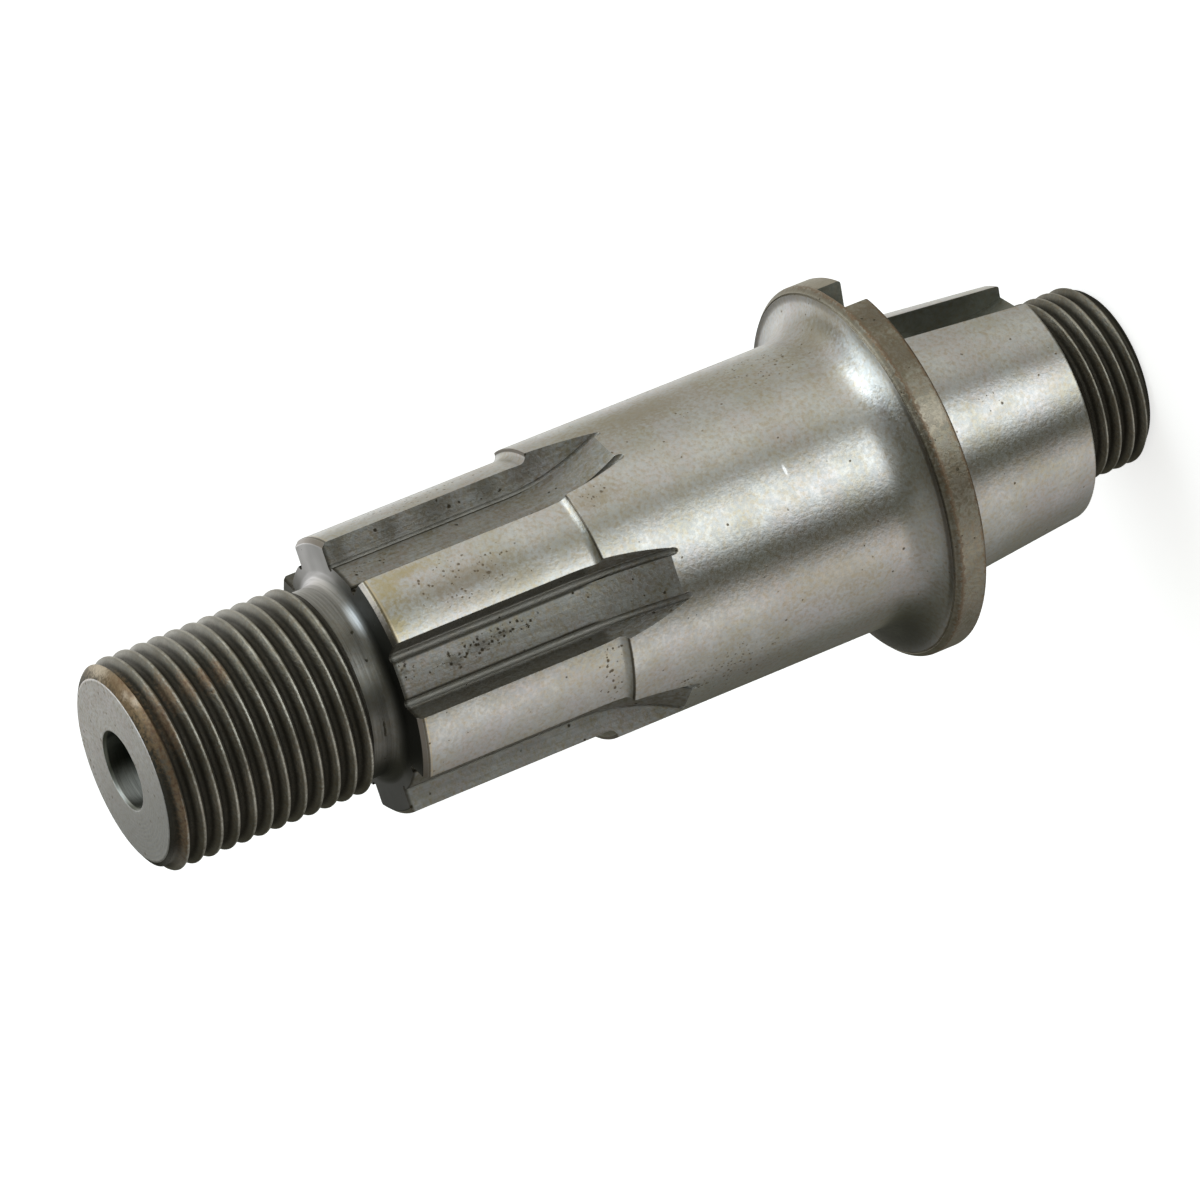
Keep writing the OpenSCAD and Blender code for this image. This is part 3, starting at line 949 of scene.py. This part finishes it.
# The outline of one slot: floor and relief grooves in one chain of arcs, from flank to flank
def slotSection():
    s = splineSlots
    half, halfTooth = math.pi / s["count"], s["toothWidth"] / 2
    floor, groove, reach = s["rootRadius"], s["grooveRadius"], s["grooveReach"]
    flankTurn = half - math.asin(halfTooth / floor)
    grooveTurn = half - math.asin((halfTooth + groove * s["grooveBite"]) / reach)
    # A groove's circle crosses the floor's this far to each side of the groove's own middle
    spread = math.acos((floor ** 2 + reach ** 2 - groove ** 2) / (2 * floor * reach))
    underFloor = -math.pi - 2 * math.asin((floor * math.cos(spread) - reach) / groove)
    land = flankTurn - grooveTurn - spread
    axis = (0, 0, 0)
    arcs = [
        (axis, land, 1),
        (inSection(grooveTurn, reach), underFloor, s["grooveSteps"]),
        (axis, 2 * (grooveTurn - spread), s["floorSteps"]),
        (inSection(-grooveTurn, reach), underFloor, s["grooveSteps"]),
        (axis, land, 1),
    ]
    bm = bmesh.new()
    last = bm.verts.new(inSection(flankTurn, floor))
    for middle, angle, steps in arcs:
        spun = bmesh.ops.spin(bm, geom=[last], cent=middle, axis=(0, 0, 1), angle=angle, steps=steps,
                              use_merge=False)
        last = spun["geom_last"][0]
    outline = bm.verts[:]
    wide = (s["top"] - halfTooth / math.sin(half)) * math.tan(half)
    outline += [bm.verts.new((x * mm, s["top"] * mm, s["straightFrom"] * mm)) for x in (-wide, wide)]
    bm.faces.new(outline)
    return bm


def repeatRound(section, name):
    s = splineSlots
    whole = bmesh.new()
    for i in range(s["count"]):
        turned = section.copy()
        turn = Matrix.Rotation(math.radians(s["firstTurn"] - 90 + i * 360 / s["count"]), 3, "Z")
        bmesh.ops.rotate(turned, verts=turned.verts[:], cent=(0, 0, 0), matrix=turn)
        spare = bpy.data.meshes.new("spare")
        turned.to_mesh(spare)
        whole.from_mesh(spare)
        turned.free()
        bpy.data.meshes.remove(spare)
    section.free()
    return toObject(name, whole, "milled")


def makeSlotCutter():
    section = slotSection()
    sweepSlot(section)
    return repeatRound(section, "slotCutter")


# The keyseat, sunk by a disc cutter whose axis lies across the shaft
keyseat = {
    "turn": -30.0,
    "width": 6.35,
    "cutterRadius": 19.05,
    "floor": 11.7,
    "middle": 16.6,
    "segments": 180,
}


def makeKeyCutter():
    k = keyseat
    bm = bmesh.new()
    place = (Matrix.Rotation(math.radians(k["turn"]), 4, "Z")
             @ Matrix.Translation(((k["floor"] + k["cutterRadius"]) * mm, 0, k["middle"] * mm))
             @ Matrix.Rotation(math.pi / 2, 4, "X"))
    bmesh.ops.create_cone(bm, cap_ends=True, segments=k["segments"], radius1=k["cutterRadius"] * mm,
                          radius2=k["cutterRadius"] * mm, depth=k["width"] * mm, matrix=place)
    return toObject("keyCutter", bm, "seat")


# Threads: a helical sleeve cuts each one. Root is the height of a root at turn 0.
# Flank lists points of half a turn of thread: share of the pitch from the root, share of the depth.
threadFlank = [(0.0, 0.0), (0.09, 0.02), (0.17, 0.13), (0.385, 0.9), (0.44, 0.975)]
sprocketThread = {
    "pitch": 2.1167, "crest": 12.55, "core": 11.42, "outer": 13.4,
    "root": 128.224, "bottom": 102.25, "turns": 14, "segments": 168, "mergeWithin": 0.005,
}
flywheelThread = {
    "pitch": 1.8143, "crest": 11.1, "core": 9.99, "outer": 11.7,
    "root": 8.321, "bottom": -2.22, "turns": 6, "segments": 144, "mergeWithin": 0.005,
}


def makeSleeve(thread, name):
    t = thread
    pitch, depth = t["pitch"], t["crest"] - t["core"]
    rise = [(s * pitch, t["core"] + d * depth) for s, d in threadFlank]
    fall = [(pitch - s * pitch, t["core"] + d * depth) for s, d in threadFlank[:0:-1]]
    turn = rise + [(pitch / 2, t["crest"])] + fall
    points = [(r, t["bottom"] + i * pitch + z) for i in range(t["turns"]) for z, r in turn]
    points.append((t["core"], t["bottom"] + t["turns"] * pitch))
    points += [(t["outer"], t["bottom"] + i * pitch) for i in range(t["turns"], -1, -1)]
    bm = bmesh.new()
    loop = [bm.verts.new((r * mm, 0, z * mm)) for r, z in points]
    for a, b in zip(loop, loop[1:] + loop[:1]):
        bm.edges.new((a, b))
    start = 2 * math.pi * (t["bottom"] - t["root"]) / pitch
    bmesh.ops.rotate(bm, verts=loop, cent=(0, 0, 0), matrix=Matrix.Rotation(start, 3, "Z"))
    bmesh.ops.spin(bm, geom=bm.verts[:] + bm.edges[:], cent=(0, 0, 0), axis=(0, 0, 1),
                   dvec=(0, 0, pitch * mm / t["segments"]), angle=2 * math.pi, steps=t["segments"],
                   use_merge=False)
    bmesh.ops.remove_doubles(bm, verts=bm.verts[:], dist=t["mergeWithin"] * mm)
    bmesh.ops.holes_fill(bm, edges=[e for e in bm.edges if e.is_boundary], sides=0)
    return toObject(name, bm, "threaded")


def carve(body, cutter):
    cut = body.modifiers.new(cutter.name, "BOOLEAN")
    cut.operation, cut.solver, cut.object = "DIFFERENCE", "EXACT", cutter
    cut.material_mode = "INDEX"
    bpy.context.view_layer.update()
    done = bpy.data.meshes.new_from_object(body.evaluated_get(bpy.context.evaluated_depsgraph_get()))
    body.modifiers.clear()
    old, body.data = body.data, done
    bpy.data.meshes.remove(old)
    spare = cutter.data
    bpy.data.objects.remove(cutter)
    bpy.data.meshes.remove(spare)
    print("carved down to", len(body.data.polygons), "faces")


# Turned faces get normals that point straight away from the axis, so that a long strip which a
# cutter has clipped still shades evenly. Short faces of a rounding blend into their long neighbours.
shading = {
    "turned": ("ground", "neck", "faced", "rim", "drilled"),
    "longFace": 0.5,           # mm along the half section
    "sharpEdge": 32.0,         # degrees between two faces that don't blend
    "pole": 0.01,              # mm from the axis within which a normal can't point away from it
}


def evenNormals(mesh):
    turned = [finishes.index(finish) for finish in shading["turned"]]
    sharpest = math.cos(math.radians(shading["sharpEdge"]))
    slopes, around = {}, {}
    for face in mesh.polygons:
        if face.material_index in turned:
            out = Vector((face.center.x, face.center.y, 0)).normalized()
            places = [mesh.vertices[v].co / mm for v in face.vertices]
            radii = [math.hypot(p.x, p.y) for p in places]
            heights = [p.z for p in places]
            length = math.hypot(max(radii) - min(radii), max(heights) - min(heights))
            slope = Vector((face.normal.dot(out), face.normal.z)).normalized()
            slopes[face.index] = (slope, length > shading["longFace"])
            for v in face.vertices:
                around.setdefault(v, []).append(slopes[face.index])
    normals = [corner.vector.copy() for corner in mesh.corner_normals]
    for face in mesh.polygons:
        if face.index not in slopes:
            continue
        slope, isLong = slopes[face.index]
        for corner in face.loop_indices:
            v = mesh.loops[corner].vertex_index
            place = mesh.vertices[v].co
            out = Vector((place.x, place.y, 0))
            if out.length < shading["pole"] * mm:
                normals[corner] = face.normal.copy()
                continue
            near = [(other, otherLong) for other, otherLong in around[v] if other.dot(slope) > sharpest]
            longest = [other for other, otherLong in near if otherLong]
            if isLong:
                lean = slope
            elif longest:
                lean = longest[0]
            else:
                # Each different slope counts once, however many faces share it
                different = sorted({(round(other.x, 3), round(other.y, 3)) for other, otherLong in near})
                lean = sum((Vector(other) for other in different), Vector((0, 0)))
            normals[corner] = (out.normalized() * lean.x + Vector((0, 0, lean.y))).normalized()
    mesh.normals_split_custom_set(normals)


def makeShaft():
    shaft = makeBlank()
    print("blank turned,", len(shaft.data.polygons), "faces")
    cutters = [makeSleeve(sprocketThread, "sprocketSleeve"), makeSleeve(flywheelThread, "flywheelSleeve")]
    cutters += [makeSlotCutter(), makeKeyCutter()]
    for cutter in cutters:
        carve(shaft, cutter)
    shaft.data.name = "sprocketShaft"
    shaft.data.shade_smooth()
    shaft.data.set_sharp_from_angle(angle=math.radians(shading["sharpEdge"]))
    evenNormals(shaft.data)
    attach(shaft, "root")
    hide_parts("sprocket_shaft")
    return shaft


shaft = makeShaft()
triangles = sum(len(p.vertices) - 2 for p in shaft.data.polygons)
print("shaft cut,", triangles, "triangles")
